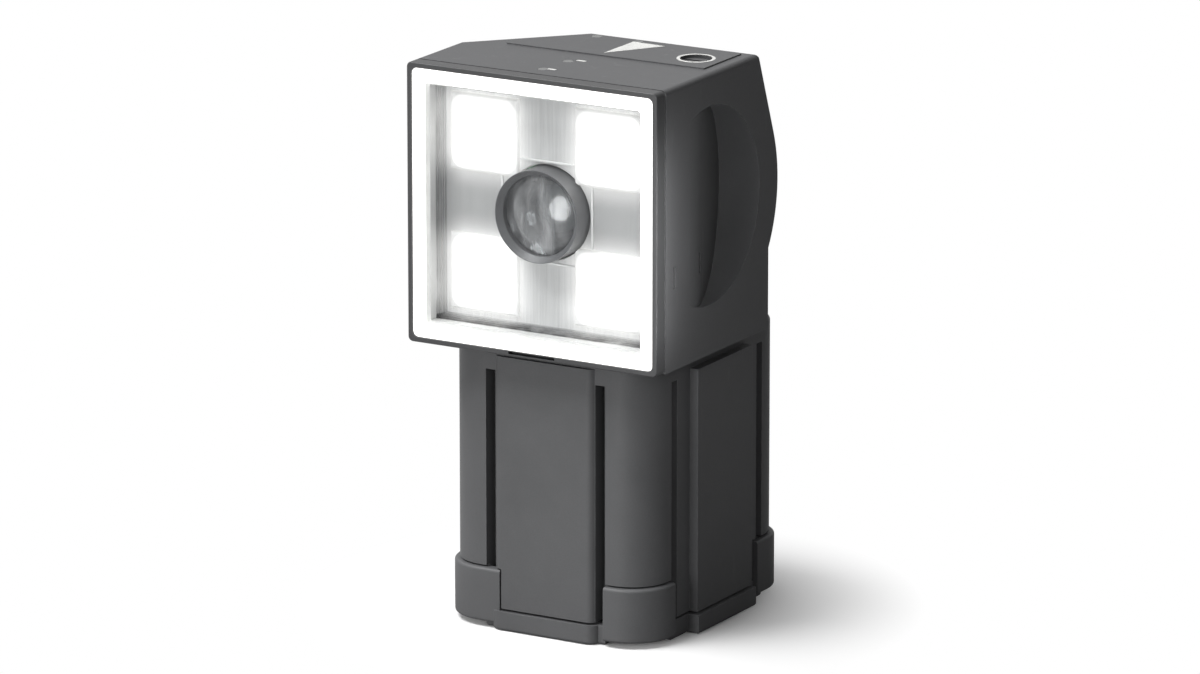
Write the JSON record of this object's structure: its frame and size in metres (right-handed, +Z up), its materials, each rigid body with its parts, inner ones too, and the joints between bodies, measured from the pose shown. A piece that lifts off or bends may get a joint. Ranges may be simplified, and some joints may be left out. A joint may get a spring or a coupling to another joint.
{
  "type": "machine vision camera",
  "caption": "Compact vision sensor: square head with a lit window, camera lens and side hand hold on a grooved upright body with a clawed foot cap.",
  "frame": {"origin": "centre of the foot, on the surface it stands on", "axes": "+Z up along the body, the window looks along -Y, +X to the window's right as seen from the front"},
  "size_m": [0.0486, 0.0532, 0.0985],
  "materials": {
    "housing": "fine moulded texture, satin",
    "bezel": "smooth satin",
    "glow_frame": "translucent white, lit from behind",
    "window": "clear hard coated pane",
    "rubber": "matt",
    "reflector": "light grey satin",
    "led_cover": "milky, lit from behind",
    "circuit_board": "green solder mask",
    "chip": "matt epoxy",
    "led_package": "white ceramic with phosphor",
    "barrel": "black anodised",
    "holder": "matt",
    "lens_glass": "coated optical glass",
    "steel": "turned",
    "screw_head": "blackened",
    "chassis": "bare sheet",
    "thermal": "soft pad",
    "flex": "amber film",
    "socket": "nickel plated",
    "contact": "gold plated",
    "indicator": "smoked"
  },
  "bodies": {
    "camera_body": {"base_cap": "housing", "base_gasket": "rubber", "board_chips": "chip", "board_link": "chip", "board_screws": "steel", "cap_screws": "screw_head", "focus_seal": "rubber", "front_bezel": "bezel", "front_window": "window", "holder_screws": "steel", "image_sensor": "chip", "inner_chassis": "chassis", "io_board": "circuit_board", "led_board": "circuit_board", "led_chips": "led_package", "led_lenses": "led_cover", "lens_holder": "holder", "light_frame": "glow_frame", "main_board": "circuit_board", "main_housing": "housing", "network_pins": "contact", "network_socket": "socket", "power_pins": "contact", "power_socket": "socket", "reflector": "reflector", "sensor_board": "circuit_board", "sensor_flex": "flex", "status_lights": "indicator", "thermal_pad": "thermal", "window_gasket": "rubber"},
    "lens": {"lens_carriage": "barrel", "front_lens": "lens_glass", "rear_lens": "lens_glass"},
    "focus_drive": {"focus_screw": "screw_head", "focus_pinion": "steel"}
  },
  "joints": [
    {"name": "focus_turn", "type": "hinge", "parent": "camera_body", "child": "focus_drive", "pos_m": [0.0172, -0.0011, 0.0965], "axis": [0, 0, 1], "range_deg": [-38.2, 38.2]},
    {"name": "lens_focus", "type": "slide", "parent": "camera_body", "child": "lens", "axis": [0, 1, 0], "range_m": [-0.002, 0.002]}
  ],
  "couplings": [
    {"joint": "focus_turn", "follows": "lens_focus", "rad_per_m": -333.33}
  ]
}
